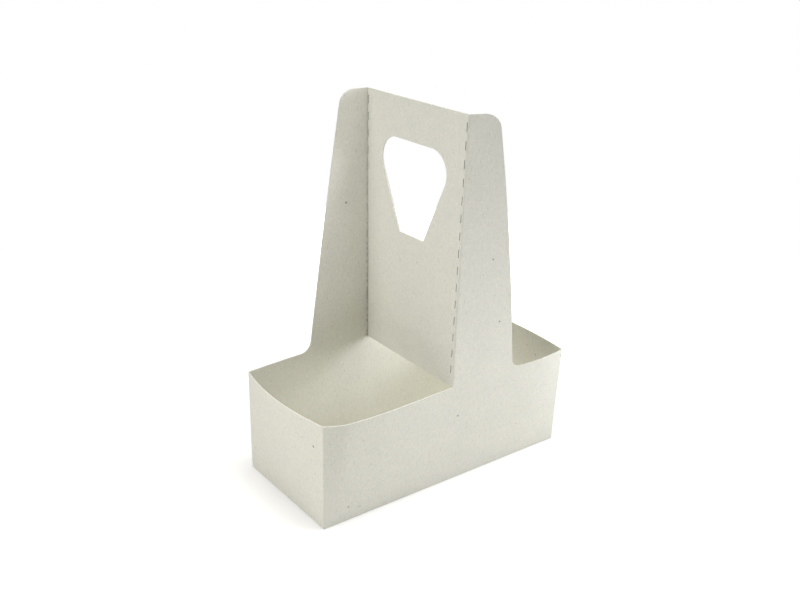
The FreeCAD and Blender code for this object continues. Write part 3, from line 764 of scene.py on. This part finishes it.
rim_angle = np.linspace(0, 2 * math.pi, FLOOR_SIDES + 1)[:-1]
floor_rim = np.stack([
    FLOOR_RADIUS * np.cos(rim_angle),
    FLOOR_RADIUS * np.sin(rim_angle),
    np.full(FLOOR_SIDES, FLOOR_Z),
], -1)
floor_mesh = bpy.data.meshes.new("floor")
floor_mesh.from_pydata(floor_rim.tolist(), [], [list(range(FLOOR_SIDES))])
floor = bpy.data.objects.new("floor", floor_mesh)
bpy.context.scene.collection.objects.link(floor)
floor_material = bpy.data.materials.new("white_floor")
floor_material.use_nodes = True
floor_nodes, floor_links = floor_material.node_tree.nodes, floor_material.node_tree.links
floor_shader = floor_nodes["Principled BSDF"]
floor_shader.inputs["Base Color"].default_value = FLOOR_TONE
floor_shader.inputs["Roughness"].default_value = 1.0
floor_shader.inputs["Specular IOR Level"].default_value = 0.0
floor_shader.inputs["Emission Color"].default_value = WHITE
floor_place = floor_nodes.new("ShaderNodeTexCoord")
floor_distance = floor_nodes.new("ShaderNodeVectorMath")
floor_distance.operation = "LENGTH"
floor_glow = floor_nodes.new("ShaderNodeMapRange")
floor_glow.interpolation_type = "SMOOTHSTEP"
floor_glow.inputs["From Min"].default_value = GLOW_START
floor_glow.inputs["From Max"].default_value = GLOW_END
floor_glow.inputs["To Min"].default_value = FLOOR_GLOW_NEAR
floor_glow.inputs["To Max"].default_value = FLOOR_GLOW_FAR
floor_links.new(floor_place.outputs["Object"], floor_distance.inputs[0])
floor_links.new(floor_distance.outputs["Value"], floor_glow.inputs["Value"])
floor_seen_by = floor_nodes.new("ShaderNodeLightPath")
floor_seen_glow = floor_nodes.new("ShaderNodeMath")
floor_seen_glow.operation = "MULTIPLY_ADD"
floor_seen_glow.inputs[1].default_value = FLOOR_GLOW_SEEN
floor_links.new(floor_seen_by.outputs["Is Camera Ray"], floor_seen_glow.inputs[0])
floor_links.new(floor_glow.outputs["Result"], floor_seen_glow.inputs[2])
floor_links.new(floor_seen_glow.outputs["Value"], floor_shader.inputs["Emission Strength"])
floor_mesh.materials.append(floor_material)

world = bpy.data.worlds.new("studio")
world.use_nodes = True
world_nodes = world.node_tree.nodes
seen_by = world_nodes.new("ShaderNodeLightPath")
world_nodes["Background"].inputs["Color"].default_value = WHITE
world.node_tree.links.new(
    seen_by.outputs["Is Camera Ray"], world_nodes["Background"].inputs["Strength"]
)
bpy.context.scene.world = world
bpy.context.scene.view_settings.view_transform = "Standard"


def way_from(azimuth, elevation):
    """The way from the carrier to a place round it. Azimuth 0 is in front and 90 is right."""
    turn, rise = math.radians(azimuth), math.radians(elevation)
    return Vector((
        math.sin(turn) * math.cos(rise),
        -math.cos(turn) * math.cos(rise),
        math.sin(rise),
    ))


def soft_light(name, azimuth, elevation, reach, power, tint=PLAIN):
    """A square soft light aimed at the carrier."""
    distance, size = reach
    way = way_from(azimuth, elevation)
    lamp = bpy.data.lights.new(name, "AREA")
    lamp.size = size
    lamp.energy = power
    lamp.color = tint
    holder = bpy.data.objects.new(name, lamp)
    holder.location = LIGHT_TARGET + way * distance
    holder.rotation_euler = way.to_track_quat("Z", "Y").to_euler()
    holder.visible_camera = False
    bpy.context.scene.collection.objects.link(holder)


soft_light("top_softbox", 0, 90, FAR_LAMP, 13.4)
soft_light("front_top_softbox", 45, 64, FAR_LAMP, 3.7)
soft_light("key_softbox", 50, 24, FAR_LAMP, 4.5, COOL)
soft_light("front_low_softbox", 30, 12, FAR_LAMP, 1.2, COOL)
soft_light("right_near_softbox", 60, 10, NEAR_LAMP, 1.0, COOL)
soft_light("left_low_softbox", 270, 12, FAR_LAMP, 2.9)
soft_light("left_back_softbox", 250, 32, FAR_LAMP, 2.8)
soft_light("left_near_softbox", 285, 20, NEAR_LAMP, 0.4)


# Camera
#
# Set where the photograph was taken from, on the near left and a little above the carrier. The
# azimuth, the elevation and the roll are in degrees, and the lens and the sensor in millimetres.
CAMERA_AZIMUTH = -37.13
CAMERA_ELEVATION = 22.317
CAMERA_ROLL = 1.082
CAMERA_PLACE = (-0.384863, -0.497416, 0.375902)
LENS = 45.318
SENSOR_WIDTH = 36.0

back_way = way_from(CAMERA_AZIMUTH, CAMERA_ELEVATION)
level_right = (-back_way).cross(Vector((0, 0, 1))).normalized()
level_up = level_right.cross(-back_way)
roll = math.radians(CAMERA_ROLL)
right_way = level_right * math.cos(roll) + level_up * math.sin(roll)
up_way = level_up * math.cos(roll) - level_right * math.sin(roll)
camera_data = bpy.data.cameras.new("camera")
camera_data.lens = LENS
camera_data.sensor_width = SENSOR_WIDTH
camera = bpy.data.objects.new("camera", camera_data)
camera_turn = Matrix((right_way, up_way, back_way)).transposed().to_4x4()
camera.matrix_world = Matrix.Translation(CAMERA_PLACE) @ camera_turn
bpy.context.scene.collection.objects.link(camera)
bpy.context.scene.camera = camera
